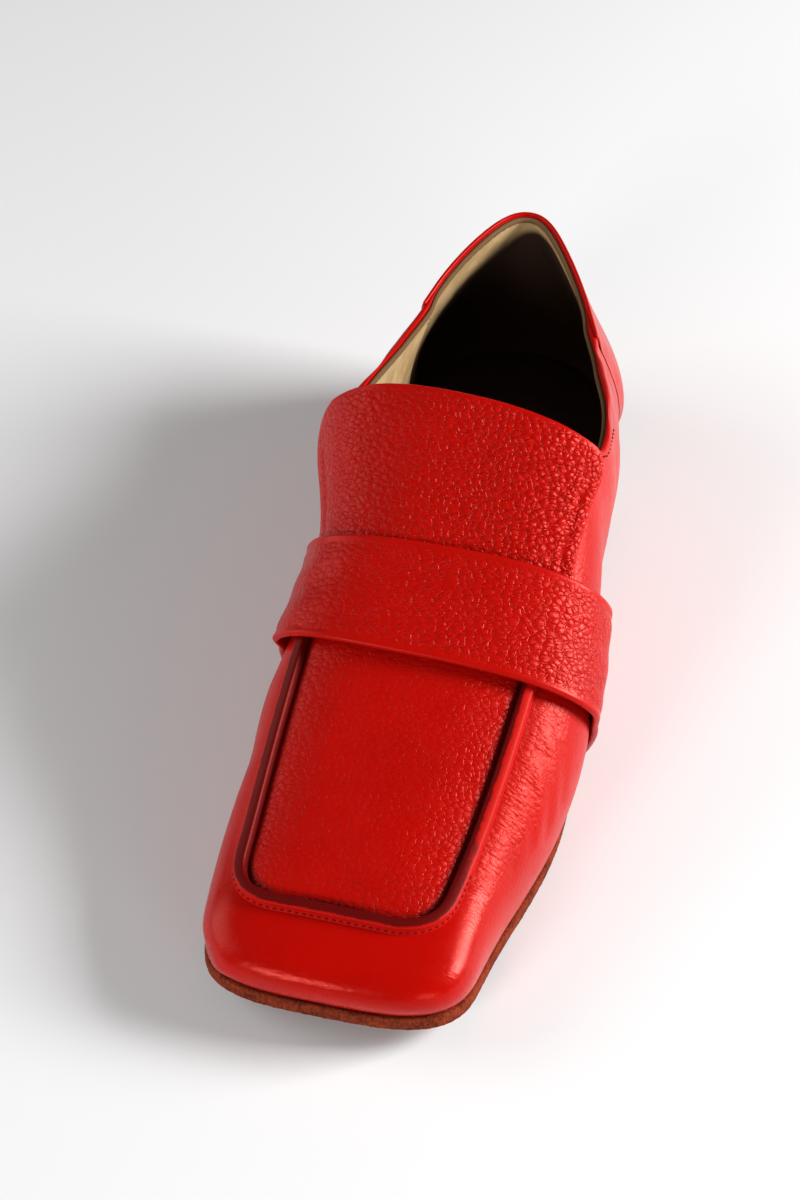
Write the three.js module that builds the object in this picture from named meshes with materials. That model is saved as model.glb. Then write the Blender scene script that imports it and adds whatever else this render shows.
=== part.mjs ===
import * as THREE from "three";

// A left loafer, built over its own last. Millimetres, +Z up, toe towards -Y, outer side towards +X.
// A place on the last has two numbers. tau runs along the feather edge, where upper and sole meet, from
// the heel's back (0) to the toe's tip (1). girth runs across, from the inner feather edge (-1) over the
// crest (0) to the outer feather edge (1). In the tables s is the distance from the heel's back.

const UPPER_LENGTH = 259.5;
const CENTRE_X = 4.84;
const CENTRE_S = 129.2;
const GAP = 0.3;

const UPPER_WALL = 2;
const TONGUE_THICKNESS = 2;
const STRAP_THICKNESS = 2;
const COUNTER_THICKNESS = 1;
const INSOLE_THICKNESS = 2;
const INSOLE_INSET = 5.5;

const SOLE_THICKNESS = 4;
const SOLE_LEDGE = 0.4;
const HEEL_HEIGHT = 12;
const HEEL_FRONT = 52;
const HEEL_TAPER = 1.5;

// Half widths of the feather edge, before its two ends are rounded off.
const OUTLINE = [
  { s: 0, outer: 30.5, inner: 30 },
  { s: 35, outer: 31.5, inner: 30.5 },
  { s: 70, outer: 32, inner: 28 },
  { s: 105, outer: 33.3, inner: 26.5 },
  { s: 140, outer: 38.8, inner: 31.5 },
  { s: 170, outer: 42.8, inner: 37.5 },
  { s: 195, outer: 41.2, inner: 38.6 },
  { s: 220, outer: 35.5, inner: 39.2 },
  { s: 240, outer: 32.2, inner: 38.2 },
  { s: UPPER_LENGTH, outer: 30, inner: 36.2 },
];
const HEEL_END = { length: 34, power: 2.2 };
// The forefoot turns in a little, so toe, apron and strap slant: their outer ends lie further forward.
const TOE_END = { length: 23, power: 3.4, from: 150, swing: -5, slant: 0.035 };

// The crest line over the instep, and how far it lies from the middle.
const CREST = [
  { s: 30, z: 108, x: -3 },
  { s: 60, z: 105, x: -2 },
  { s: 90, z: 98, x: -2 },
  { s: 113, z: 87, x: -2 },
  { s: 130, z: 75.5, x: -3 },
  { s: 150, z: 62.5, x: -4 },
  { s: 170, z: 52.5, x: -4.5 },
  { s: 190, z: 44, x: -5 },
  { s: 210, z: 36, x: -5 },
  { s: 225, z: 31, x: -5 },
  { s: 236, z: 28, x: -5 },
];
const HEEL_CROWN = 34;
const TOE_CROWN = 228;
const CROWN_BLEND = 22;

// Underside of the outsole: held flat at the heel seat and under the ball of the foot.
const SOLE_BOTTOM = [
  { s: 0, z: 12.6 },
  { s: 45, z: 12.6 },
  { s: 75, z: 11.2 },
  { s: 105, z: 6.7 },
  { s: 135, z: 1.8 },
  { s: 165, z: -0.6 },
  { s: 205, z: -0.6 },
  { s: 230, z: 2.3 },
  { s: UPPER_LENGTH, z: 7.8 },
];

// Each half section is one cubic curve: wall is the height of its side handle as a share of the section's
// height, bulge how far that handle stands out, and crown the length of its top handle as a share of the run.
const OUTER_SIDE = [
  { s: 0, wall: 0.5, crown: 0.6, bulge: 5 },
  { s: 20, wall: 0.45, crown: 0.45, bulge: 11.8 },
  { s: 45, wall: 0.42, crown: 0.06, bulge: 17.5 },
  { s: 80, wall: 0.4, crown: 0.99, bulge: 20.2 },
  { s: 110, wall: 0.7, crown: 1.25, bulge: 16.7 },
  { s: 140, wall: 0.68, crown: 1.2, bulge: 11 },
  { s: 168, wall: 0.62, crown: 1.05, bulge: 10.5 },
  { s: 200, wall: 0.66, crown: 0.92, bulge: 5 },
  { s: 230, wall: 0.7, crown: 0.82, bulge: 3.5 },
  { s: UPPER_LENGTH, wall: 0.7, crown: 0.8, bulge: 4 },
];
const INNER_SIDE = [
  { s: 0, wall: 0.5, crown: 0.6, bulge: 5 },
  { s: 20, wall: 0.45, crown: 0.45, bulge: 12.2 },
  { s: 45, wall: 0.42, crown: 0.18, bulge: 11.2 },
  { s: 80, wall: 0.56, crown: 0.8, bulge: 14.4 },
  { s: 110, wall: 0.72, crown: 1.42, bulge: 15 },
  { s: 140, wall: 0.76, crown: 1.12, bulge: 3.5 },
  { s: 168, wall: 0.8, crown: 1.03, bulge: 0.5 },
  { s: 200, wall: 0.8, crown: 1, bulge: 2 },
  { s: 230, wall: 0.76, crown: 0.86, bulge: 3.5 },
  { s: UPPER_LENGTH, wall: 0.7, crown: 0.8, bulge: 4 },
];
// The feather edge turns in under the last, and the empty heel closes towards its top.
const TUCK = { depth: 0.9, height: 4 };
const HEEL_PINCH = { share: 0.603, x: -0.6, length: 61, base: 17, top: 72 };

// Height of the collar along the foot. Its two ends rise to the throat, under the tongue.
const COLLAR = [
  { s: 0, z: 72.5 },
  { s: 12, z: 72 },
  { s: 44, z: 63.3 },
  { s: 70, z: 67.4 },
  { s: 92, z: 70.8 },
  { s: 110, z: 72.6 },
];
const THROAT = { start: 104, end: 130 };

const TONGUE = { top: 110.6, slant: 5.6, free: 138, base: 157, flare: 3.6, flarePower: 1.5 };
const TONGUE_TOP = { outer: 0.452, inner: 0.55 };
const TONGUE_BASE = { outer: 0.397, inner: 0.53 };
const TONGUE_CORNER = { outer: 7, inner: 13 };
// The strap's two edges lean back as they come down either side.
const STRAP_REAR = { s: 146, outerLean: 0.3, innerLean: 0.53 };
const STRAP_FRONT = { s: 174, slant: 4.5, outerLean: 0.5, innerLean: 0.4 };
const STRAP_END = 0.955;
// Over tongue and apron seam the strap is lifted; further down it lies on the upper.
const STRAP_SEAT = { outer: { lifted: 0.58, lying: 0.74 }, inner: { lifted: 0.54, lying: 0.62 } };
const APRON = { front: 241.8, slant: 0.035, back: 164, corner: 13, power: 2.6 };
const APRON_EDGES = [
  { s: 164, outer: 31.8, inner: -28.8 },
  { s: 200, outer: 28, inner: -30.6 },
  { s: 240, outer: 21.8, inner: -31 },
];
const SEAM_WIDTH = 3;
const SEAM_HEIGHT = 2;
const COUNTER = { collar: 44.4, sole: 35, slant: 2.2, foot: 0.05, crowding: 1.25 };

const STEPS = {
  outline: 1200,
  search: 40,
  upper: { along: 44, across: 13 },
  sole: { along: 40, across: 6 },
  heel: { along: 14, across: 4 },
  insole: { along: 30, across: 4 },
  tongue: { along: 8, corner: 4, across: 16 },
  strap: { along: 44, across: 4 },
  seam: 30,
  counter: { along: 13, across: 11 },
};
const NEAR = 2e-3;
const WELD = 1e-4;

const RED = 0xc40d04;
const DARK_RED = 0x6e0403;
const SOLE_BROWN = 0x6e3f2c;
const HEEL_BROWN = 0x55301f;
const LINING_TAN = 0xb49565;

const clamp = THREE.MathUtils.clamp;
const lerp = THREE.MathUtils.lerp;
const smoothstep = THREE.MathUtils.smoothstep;

/** Natural cubic spline of one column of a table against s, straight on beyond the table's ends. */
function spline(table, column) {
  const n = table.length;
  const step = (i) => table[i + 1].s - table[i].s;
  const slope = (i) => (table[i + 1][column] - table[i][column]) / step(i);
  const bend = new Array(n).fill(0);
  const carry = new Array(n).fill(0);
  for (let i = 1; i < n - 1; i++) {
    const pivot = 2 * (step(i - 1) + step(i)) - step(i - 1) * carry[i - 1];
    carry[i] = step(i) / pivot;
    bend[i] = (6 * (slope(i) - slope(i - 1)) - step(i - 1) * bend[i - 1]) / pivot;
  }
  for (let i = n - 2; i > 0; i--) {
    bend[i] -= carry[i] * bend[i + 1];
  }
  return (s) => {
    const held = clamp(s, table[0].s, table[n - 1].s);
    const i = clamp(table.findLastIndex((row) => row.s <= held), 0, n - 2);
    const t = held - table[i].s;
    const start = slope(i) - (step(i) * (2 * bend[i] + bend[i + 1])) / 6;
    const change = (bend[i + 1] - bend[i]) / step(i);
    const value = table[i][column] + t * (start + t * (bend[i] / 2 + (t * change) / 6));
    return value + (s - held) * (start + t * (bend[i] + (t * change) / 2));
  };
}

const crestZ = spline(CREST, "z");
const crestX = spline(CREST, "x");
const crestSlope = (s) => crestZ(s + 0.5) - crestZ(s - 0.5);
const collarZ = spline(COLLAR, "z");
const underside = spline(SOLE_BOTTOM, "z");
const seamEdge = { outer: spline(APRON_EDGES, "outer"), inner: spline(APRON_EDGES, "inner") };
const sideTables = { 1: OUTER_SIDE, [-1]: INNER_SIDE };
const profile = {};
for (const side of [1, -1]) {
  profile[side] = {
    wall: spline(sideTables[side], "wall"),
    crown: spline(sideTables[side], "crown"),
    bulge: spline(sideTables[side], "bulge"),
  };
}

const soleBottom = (s) => clamp(underside(s), 0, HEEL_HEIGHT);
const soleTop = (s) => soleBottom(s) + SOLE_THICKNESS;
const featherZ = (s) => soleTop(s) + GAP;

/** One half of the feather edge as points spaced by their share of its length, from heel to toe. */
function halfOutline(side) {
  const width = spline(OUTLINE, side > 0 ? "outer" : "inner");
  const points = [];
  let length = 0;
  for (let i = 0; i <= STEPS.outline; i++) {
    const s = (UPPER_LENGTH * (1 - Math.cos((Math.PI * i) / STEPS.outline))) / 2;
    const heel = clamp(1 - s / HEEL_END.length, 0, 1);
    const toe = clamp(1 - (UPPER_LENGTH - s) / TOE_END.length, 0, 1);
    const heelRound = (1 - heel ** HEEL_END.power) ** (1 / HEEL_END.power);
    const toeRound = (1 - toe ** TOE_END.power) ** (1 / TOE_END.power);
    const turn = clamp((s - TOE_END.from) / (UPPER_LENGTH - TOE_END.from), 0, 1);
    const middle = TOE_END.swing * turn;
    const x = middle + (side * width(s) - middle) * heelRound * toeRound;
    const point = { x, s: s + TOE_END.slant * turn * (x - middle) };
    const last = points.at(-1) ?? point;
    length += Math.hypot(point.x - last.x, point.s - last.s);
    points.push({ ...point, length });
  }
  return points.map((p) => ({ x: p.x, s: p.s, share: p.length / length }));
}

const outlines = { 1: halfOutline(1), [-1]: halfOutline(-1) };

/** Point of the feather edge in plan. Past either end it goes on along the other side. */
function feather(tau, side) {
  if (tau < 0) {
    return feather(-tau, -side);
  }
  if (tau > 1) {
    return feather(2 - tau, -side);
  }
  const points = outlines[side];
  const i = clamp(points.findLastIndex((p) => p.share <= tau), 0, points.length - 2);
  const [a, b] = [points[i], points[i + 1]];
  const t = (tau - a.share) / (b.share - a.share);
  return { x: lerp(a.x, b.x, t), s: lerp(a.s, b.s, t) };
}

/** Point of the feather edge moved out, in plan, by a distance. */
function outline(tau, side, distance) {
  const before = feather(tau - NEAR, side);
  const after = feather(tau + NEAR, side);
  const run = Math.hypot(after.x - before.x, after.s - before.s);
  const here = feather(tau, side);
  return {
    x: here.x + (side * distance * (after.s - before.s)) / run,
    s: here.s - (side * distance * (after.x - before.x)) / run,
  };
}

const place = (x, s, z) => new THREE.Vector3(x - CENTRE_X, CENTRE_S - s, z);
const alongFoot = (point) => CENTRE_S - point.y;

/** Where a section meets the crest: at its own station, held softly between the two crowns. */
function crownStation(station) {
  const soft = (d) => (d + Math.hypot(d, CROWN_BLEND)) / 2;
  return HEEL_CROWN + soft(station - HEEL_CROWN) - soft(station - TOE_CROWN);
}

/** Outer face of the upper: a cubic from the feather edge (height 0) to the crest (height 1) on one side. */
function sectionPoint(tau, height, side) {
  const foot = feather(tau, side);
  const station = (feather(tau, 1).s + feather(tau, -1).s) / 2;
  const top = crownStation(station);
  const toCrest = { x: crestX(top) - foot.x, s: top - foot.s };
  const run = Math.hypot(toCrest.x, toCrest.s);
  const rise = crestZ(top) - featherZ(foot.s);
  const fall = crestSlope(top) * (toCrest.s / run);
  const shape = profile[side];
  const handle = shape.crown(station) * run;
  const rest = 1 - height;
  const [b1, b2, b3] = [3 * rest * rest * height, 3 * rest * height * height, height ** 3];
  const up = b1 * shape.wall(station) * rise + b2 * (rise - fall * handle) + b3 * rise;
  const tuck = TUCK.depth * clamp(1 - up / TUCK.height, 0, 1) ** 2;
  const inward = (tuck - b1 * shape.bulge(station) + b2 * (run - handle) + b3 * run) / run;
  return pinchHeel(foot.x + inward * toCrest.x, foot.s + inward * toCrest.s, featherZ(foot.s) + up);
}

function pinchHeel(x, s, z) {
  const near = 1 - smoothstep(s, 0, HEEL_PINCH.length);
  const high = smoothstep(z, HEEL_PINCH.base, HEEL_PINCH.top);
  const share = HEEL_PINCH.share * near * high;
  return place(lerp(x, HEEL_PINCH.x, share), s, z);
}

/** Point of the upper's outer face. Past heel or toe it goes on over the other side. */
function formPoint(tau, girth) {
  if (tau < 0) {
    return formPoint(-tau, -girth);
  }
  if (tau > 1) {
    return formPoint(2 - tau, -girth);
  }
  return sectionPoint(tau, 1 - Math.abs(girth), girth < 0 ? -1 : 1);
}

function formNormal(tau, girth) {
  const along = formPoint(tau + NEAR, girth).sub(formPoint(tau - NEAR, girth));
  const low = Math.max(girth - NEAR, -1);
  const high = Math.min(girth + NEAR, 1);
  const across = formPoint(tau, high).sub(formPoint(tau, low));
  return along.cross(across).normalize();
}

/** Point at a distance outside the upper's outer face, or inside it where the distance is negative. */
function offForm(tau, girth, distance) {
  return formPoint(tau, girth).addScaledVector(formNormal(tau, girth), distance);
}

/** The number between low and high where a rising function passes nought. */
function rootBetween(low, high, rising) {
  for (let i = 0; i < STEPS.search; i++) {
    const middle = (low + high) / 2;
    if (rising(middle) < 0) {
      low = middle;
    } else {
      high = middle;
    }
  }
  return (low + high) / 2;
}

/** Share of a half section, from the feather edge up, that the upper covers. */
function collarShare(tau, side) {
  const aboveCollar = (height) => {
    const point = sectionPoint(tau, height, side);
    return point.z - collarZ(alongFoot(point));
  };
  const station = (feather(tau, 1).s + feather(tau, -1).s) / 2;
  const throat = smoothstep(station, THROAT.start, THROAT.end);
  return throat === 1 ? 1 : lerp(rootBetween(0, 1, aboveCollar), 1, throat);
}

/** tau on a line of the last where it crosses a station that leans back as the surface falls. */
function tauAtStation(girth, station, lean) {
  const crown = crestZ(station);
  return rootBetween(0, 1, (tau) => {
    const point = formPoint(tau, girth);
    return alongFoot(point) + lean * (crown - point.z) - station;
  });
}

/** Triangles of a net of points in rows, with columns points in each row. */
function netTriangles(rows, columns, first = 0) {
  const triangles = [];
  for (let i = 0; i + 1 < rows; i++) {
    for (let j = 0; j + 1 < columns; j++) {
      const a = first + i * columns + j;
      const b = a + columns;
      triangles.push([a, b, b + 1], [a, b + 1, a + 1]);
    }
  }
  return triangles;
}

/** Joins points that lie on one spot, and drops the triangles that this closes up. */
function weld(points, triangles) {
  const spots = new Map();
  const index = points.map((p, i) => {
    const key = p.toArray().map((v) => Math.round(v / WELD)).join();
    if (!spots.has(key)) {
      spots.set(key, i);
    }
    return spots.get(key);
  });
  const joined = triangles.map((t) => t.map((i) => index[i]));
  return joined.filter(([a, b, c]) => a !== b && b !== c && c !== a);
}

/** Edges that only one triangle uses, each in that triangle's direction. */
function openEdges(triangles) {
  const edges = new Map();
  for (const [a, b, c] of triangles) {
    for (const [from, to] of [[a, b], [b, c], [c, a]]) {
      if (!edges.delete(`${to},${from}`)) {
        edges.set(`${from},${to}`, [from, to]);
      }
    }
  }
  return [...edges.values()];
}

function signedVolume(points, triangles) {
  const parts = triangles.map(([a, b, c]) => points[a].dot(points[b].clone().cross(points[c])));
  return parts.reduce((sum, part) => sum + part, 0) / 6;
}

/** Closed solid between two faces that share one net, closed along the net's open edges. */
function shell(outer, inner, net) {
  const face = weld(outer, net);
  const under = (i) => i + outer.length;
  const back = face.map(([a, b, c]) => [under(a), under(c), under(b)]);
  const rim = openEdges(face).flatMap(([a, b]) => [[b, a, under(a)], [b, under(a), under(b)]]);
  const points = [...outer, ...inner];
  let triangles = [...face, ...back, ...rim];
  if (signedVolume(points, triangles) < 0) {
    triangles = triangles.map(([a, b, c]) => [a, c, b]);
  }
  const used = [...new Set(triangles.flat())];
  const renumber = new Map(used.map((old, i) => [old, i]));
  const geometry = new THREE.BufferGeometry();
  const positions = used.flatMap((i) => points[i].toArray());
  geometry.setAttribute("position", new THREE.Float32BufferAttribute(positions, 3));
  geometry.setIndex(triangles.flat().map((i) => renumber.get(i)));
  geometry.computeVertexNormals();
  return geometry;
}

/** One hollow wall: two half nets that meet at the heel, at the toe and along the crest before the throat. */
function upper() {
  const { along, across } = STEPS.upper;
  const [outer, inner, net] = [[], [], []];
  for (const side of [1, -1]) {
    const half = netTriangles(along + 1, across + 1, outer.length);
    net.push(...(side > 0 ? half : half.map(([a, b, c]) => [a, c, b])));
    for (let i = 0; i <= along; i++) {
      const tau = i / along;
      const covered = collarShare(tau, side);
      for (let j = 0; j <= across; j++) {
        const girth = side * (1 - (covered * j) / across);
        outer.push(offForm(tau, girth, 0));
        inner.push(offForm(tau, girth, -UPPER_WALL));
      }
    }
  }
  return shell(outer, inner, net);
}

/** Flat layer inside an outline: the feather edge moved out by grow, between two heights along the foot. */
function layer(steps, grow, topZ, bottomZ, end = 1, taper = 0) {
  const [upperFace, lowerFace] = [[], []];
  for (let i = 0; i <= steps.along; i++) {
    const tau = (end * i) / steps.along;
    for (let j = 0; j <= steps.across; j++) {
      upperFace.push(layerPoint(tau, j / steps.across, grow, topZ));
      lowerFace.push(layerPoint(tau, j / steps.across, grow - taper, bottomZ));
    }
  }
  return shell(upperFace, lowerFace, netTriangles(steps.along + 1, steps.across + 1));
}

function layerPoint(tau, share, grow, height) {
  const [inner, outer] = [outline(tau, -1, grow), outline(tau, 1, grow)];
  const s = lerp(inner.s, outer.s, share);
  return place(lerp(inner.x, outer.x, share), s, height(s));
}

const outsole = () => layer(STEPS.sole, SOLE_LEDGE, soleTop, soleBottom);

function heelBlock() {
  const end = rootBetween(0, 1, (tau) => feather(tau, 1).s - HEEL_FRONT);
  return layer(STEPS.heel, SOLE_LEDGE, () => HEEL_HEIGHT - GAP, () => 0, end, HEEL_TAPER);
}

function insole() {
  const bottom = (s) => soleTop(s) + GAP;
  return layer(STEPS.insole, -INSOLE_INSET, (s) => bottom(s) + INSOLE_THICKNESS, bottom);
}

/** Stations of the tongue from its base under the strap to its top, with the corners' rows closer together. */
function tongueRows() {
  const { along, corner } = STEPS.tongue;
  const rounding = Math.max(TONGUE_CORNER.outer, TONGUE_CORNER.inner);
  const turn = TONGUE.top + rounding;
  const rows = [];
  for (let i = 0; i <= along; i++) {
    rows.push(lerp(TONGUE.base, turn, i / along));
  }
  for (let i = 1; i <= corner; i++) {
    rows.push(turn - rounding * Math.sin((Math.PI / 2) * (i / corner)));
  }
  return rows;
}

/** Girth that a rounded top corner takes off the tongue's edge at a station. */
function cornerCut(s, radius) {
  const short = clamp(radius - (s - TONGUE.top), 0, radius);
  return (radius - Math.sqrt(radius ** 2 - short ** 2)) / girthLength(s);
}

function tongue() {
  const [outer, inner] = [[], []];
  const rows = tongueRows();
  const { across } = STEPS.tongue;
  for (const s of rows) {
    const up = clamp((TONGUE.free - s) / (TONGUE.free - TONGUE.top), 0, 1);
    const innerEdge = cornerCut(s, TONGUE_CORNER.inner) - lerp(TONGUE_BASE.inner, TONGUE_TOP.inner, up);
    const outerEdge = lerp(TONGUE_BASE.outer, TONGUE_TOP.outer, up) - cornerCut(s, TONGUE_CORNER.outer);
    for (let j = 0; j <= across; j++) {
      const girth = lerp(innerEdge, outerEdge, j / across);
      const lift = GAP + TONGUE.flare * up ** TONGUE.flarePower * (girth / TONGUE_TOP.outer) ** 2;
      const tau = tauAtStation(girth, s + TONGUE.slant * up * girth, 0);
      outer.push(offForm(tau, girth, lift + TONGUE_THICKNESS));
      inner.push(offForm(tau, girth, lift));
    }
  }
  return shell(outer, inner, netTriangles(rows.length, across + 1));
}

/** Length over the last of one unit of girth, near the crest at a station. */
function girthLength(station) {
  const tau = tauAtStation(0, station, 0);
  return formPoint(tau, TONGUE_BASE.outer).distanceTo(formPoint(tau, 0)) / TONGUE_BASE.outer;
}

function strap() {
  const { along, across } = STEPS.strap;
  const [outer, inner] = [[], []];
  for (let i = 0; i <= along; i++) {
    const girth = STRAP_END * ((2 * i) / along - 1);
    const leaning = girth < 0 ? "innerLean" : "outerLean";
    const { lifted, lying } = girth < 0 ? STRAP_SEAT.inner : STRAP_SEAT.outer;
    const seat = GAP + (1 - smoothstep(Math.abs(girth), lifted, lying)) * (TONGUE_THICKNESS + GAP);
    const front = STRAP_FRONT.s + STRAP_FRONT.slant * girth;
    for (let j = 0; j <= across; j++) {
      const station = lerp(STRAP_REAR.s, front, j / across);
      const lean = lerp(STRAP_REAR[leaning], STRAP_FRONT[leaning], j / across);
      const tau = tauAtStation(girth, station, lean);
      outer.push(offForm(tau, girth, seat + STRAP_THICKNESS));
      inner.push(offForm(tau, girth, seat));
    }
  }
  return shell(outer, inner, netTriangles(along + 1, across + 1));
}

/** Above nought inside the apron's outline in plan, which has a rounded corner on each side of the toe. */
function insideApron(point) {
  const s = alongFoot(point);
  const [low, high] = [seamEdge.inner(s), seamEdge.outer(s)];
  const half = (high - low) / 2;
  const x = point.x + CENTRE_X;
  const fromEdge = half - Math.abs(x - (low + high) / 2);
  const sideways = Math.max(1 - fromEdge / APRON.corner, 0);
  const forward = Math.max(1 - (APRON.front + APRON.slant * x - s) / APRON.corner, 0);
  return 1 - Math.hypot(sideways ** (APRON.power / 2), forward ** (APRON.power / 2)) ** (2 / APRON.power);
}

/** Places along the apron seam, from the inner side round the toe to the outer side. */
function seamPlaces() {
  const places = [];
  for (const side of [-1, 1]) {
    const back = rootBetween(0, 1, (tau) => feather(tau, side).s - APRON.back);
    const half = [];
    for (let i = 0; i <= STEPS.seam; i++) {
      const tau = lerp(back, 1, i / STEPS.seam);
      const height = rootBetween(0, 1, (share) => insideApron(sectionPoint(tau, share, side)));
      half.push({ tau, girth: side * (1 - height) });
    }
    places.push(...(side < 0 ? half : half.reverse().slice(1)));
  }
  return places;
}

/** The raised apron seam: a flat-topped ridge along its line on the upper. */
function apronSeam() {
  const places = seamPlaces();
  const line = places.map(({ tau, girth }) => formPoint(tau, girth));
  const [top, bottom] = [[], []];
  places.forEach(({ tau, girth }, i) => {
    const normal = formNormal(tau, girth);
    const ahead = line[Math.min(i + 1, line.length - 1)];
    const behind = line[Math.max(i - 1, 0)];
    const across = ahead.clone().sub(behind).cross(normal).normalize();
    for (const edge of [-0.5, 0.5]) {
      const foot = line[i].clone().addScaledVector(across, edge * SEAM_WIDTH);
      bottom.push(foot.clone().addScaledVector(normal, GAP));
      top.push(foot.clone().addScaledVector(normal, GAP + SEAM_HEIGHT));
    }
  });
  return shell(top, bottom, netTriangles(places.length, 2));
}

/** Heel counter: a panel laid over the back of the upper, from one side's front edge round to the other's. */
function heelCounter() {
  const { along, across } = STEPS.counter;
  const [outer, inner] = [[], []];
  for (let i = -along; i <= along; i++) {
    const side = i < 0 ? -1 : 1;
    for (let j = 0; j <= across; j++) {
      const height = lerp(COUNTER.foot, 1, j / across);
      const edge = lerp(COUNTER.sole, COUNTER.collar + side * COUNTER.slant, height);
      const front = rootBetween(0, 1, (tau) => feather(tau, side).s - edge);
      const tau = front * (Math.abs(i) / along) ** COUNTER.crowding;
      const girth = side * (1 - height * collarShare(tau, side));
      outer.push(offForm(tau, girth, GAP + COUNTER_THICKNESS));
      inner.push(offForm(tau, girth, GAP));
    }
  }
  return shell(outer, inner, netTriangles(2 * along + 1, across + 1));
}

function piece(name, geometry, color, roughness) {
  const material = new THREE.MeshStandardMaterial({ color, roughness, metalness: 0 });
  const mesh = new THREE.Mesh(geometry, material);
  mesh.name = name;
  return mesh;
}

const loafer = new THREE.Group();
loafer.add(
  piece("outsole", outsole(), SOLE_BROWN, 0.85),
  piece("heel", heelBlock(), HEEL_BROWN, 0.7),
  piece("insole", insole(), LINING_TAN, 0.6),
  piece("upper", upper(), RED, 0.4),
  piece("heel_counter", heelCounter(), RED, 0.4),
  piece("apron_seam", apronSeam(), DARK_RED, 0.3),
  piece("tongue", tongue(), RED, 0.45),
  piece("strap", strap(), RED, 0.42),
);

export default loafer;
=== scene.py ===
import math

import bmesh
import bpy
import numpy as np
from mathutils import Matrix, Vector, noise

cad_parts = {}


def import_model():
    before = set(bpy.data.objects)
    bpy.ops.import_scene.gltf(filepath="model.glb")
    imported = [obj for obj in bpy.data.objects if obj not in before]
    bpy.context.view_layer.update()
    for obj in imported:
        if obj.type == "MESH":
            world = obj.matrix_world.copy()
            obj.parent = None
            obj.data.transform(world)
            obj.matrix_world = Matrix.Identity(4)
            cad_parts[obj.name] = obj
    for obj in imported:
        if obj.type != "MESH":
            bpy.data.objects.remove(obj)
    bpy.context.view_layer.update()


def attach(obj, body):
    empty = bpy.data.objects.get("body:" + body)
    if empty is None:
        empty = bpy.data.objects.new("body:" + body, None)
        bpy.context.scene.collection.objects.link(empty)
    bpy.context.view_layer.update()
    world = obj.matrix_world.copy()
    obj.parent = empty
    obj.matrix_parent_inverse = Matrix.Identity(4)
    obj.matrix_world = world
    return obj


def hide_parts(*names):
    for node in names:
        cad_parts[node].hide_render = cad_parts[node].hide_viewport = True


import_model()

BODY = "root"

# A left loafer, built over its own last. The last is worked out in millimetres, the pieces are in metres.
# A place on the last has two numbers. tau runs along the feather edge, where upper and sole meet, from the
# heel's back (0) to the toe's tip (1). girth runs across, from the inner feather edge (-1) over the crest
# (0) to the outer feather edge (1). A share is 1 - |girth|. In the tables s is the distance from the
# heel's back.
MM = 0.001
UPPER_LENGTH = 259.5
CENTRE_X = 4.84
CENTRE_S = 129.2
GAP = 0.3
# Small steps of tau and girth. WELD and SLIVER are in millimetres, SMALL_HOLE in corners.
NEAR = 2e-3
OFF_CREST = 1e-4
HALVINGS = 36
OUTLINE_STEPS = 1200
WELD = 2e-3
SLIVER = 2e-4
SMALL_HOLE = 16

LEATHER = 1.3
LINING = 1.4
LINING_DROP = 0.5
LINING_GAP = 0.05
SKIVED = {"leather": 0.3, "drop": 0.5, "s": (36, 44)}
TONGUE_THICKNESS = 2
STRAP_THICKNESS = 2
COUNTER_THICKNESS = 1.2
INSOLE_THICKNESS = 2
INSOLE_INSET = 3
SOLE_THICKNESS = 4
SOLE_LEDGE = 0.4
HEEL_HEIGHT = 12
HEEL_FRONT = 52
HEEL_GAP = 0.1
HEEL_TAPER = 1.5


def table(columns, *rows):
    """Named columns of a short table, as arrays."""
    return dict(zip(columns.split(), np.array(rows, float).T))


OUTLINE = table(
    "s outer inner",
    (0, 30.5, 30),
    (35, 31.5, 30.5),
    (70, 32, 28),
    (105, 33.3, 26.5),
    (140, 38.8, 31.5),
    (170, 42.8, 37.5),
    (195, 41.2, 38.6),
    (220, 35.5, 39.2),
    (240, 32.2, 38.2),
    (UPPER_LENGTH, 30, 36.2),
)
HEEL_END = {"length": 34, "power": 2.2}
# The forefoot turns in a little, so toe, apron and strap slant: their outer ends lie further forward.
TOE_END = {"length": 23, "power": 3.4, "from": 150, "swing": -5, "slant": 0.035}
CREST = table(
    "s z x",
    (30, 108, -3),
    (60, 105, -2),
    (90, 98, -2),
    (113, 87, -2),
    (130, 75.5, -3),
    (150, 62.5, -4),
    (170, 52.5, -4.5),
    (190, 44, -5),
    (210, 36, -5),
    (225, 31, -5),
    (236, 28, -5),
)
HEEL_CROWN = 34
TOE_CROWN = 228
CROWN_BLEND = 22
SOLE_BOTTOM = table(
    "s z",
    (0, 12.6),
    (45, 12.6),
    (75, 11.2),
    (105, 6.7),
    (135, 1.8),
    (165, -0.6),
    (205, -0.6),
    (230, 2.3),
    (UPPER_LENGTH, 7.8),
)
OUTER_SIDE = table(
    "s wall crown bulge",
    (0, 0.5, 0.6, 5),
    (20, 0.45, 0.45, 11.8),
    (45, 0.42, 0.06, 17.5),
    (80, 0.4, 0.99, 20.2),
    (110, 0.7, 1.25, 16.7),
    (140, 0.68, 1.2, 11),
    (168, 0.62, 1.05, 10.5),
    (200, 0.66, 0.92, 5),
    (230, 0.7, 0.82, 3.5),
    (UPPER_LENGTH, 0.7, 0.8, 4),
)
INNER_SIDE = table(
    "s wall crown bulge",
    (0, 0.5, 0.6, 5),
    (20, 0.45, 0.45, 12.2),
    (45, 0.42, 0.18, 11.2),
    (80, 0.56, 0.8, 14.4),
    (110, 0.72, 1.42, 15),
    (140, 0.76, 1.12, 3.5),
    (168, 0.8, 1.03, 0.5),
    (200, 0.8, 1, 2),
    (230, 0.76, 0.86, 3.5),
    (UPPER_LENGTH, 0.7, 0.8, 4),
)
TUCK = {"depth": 0.9, "height": 4}
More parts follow.
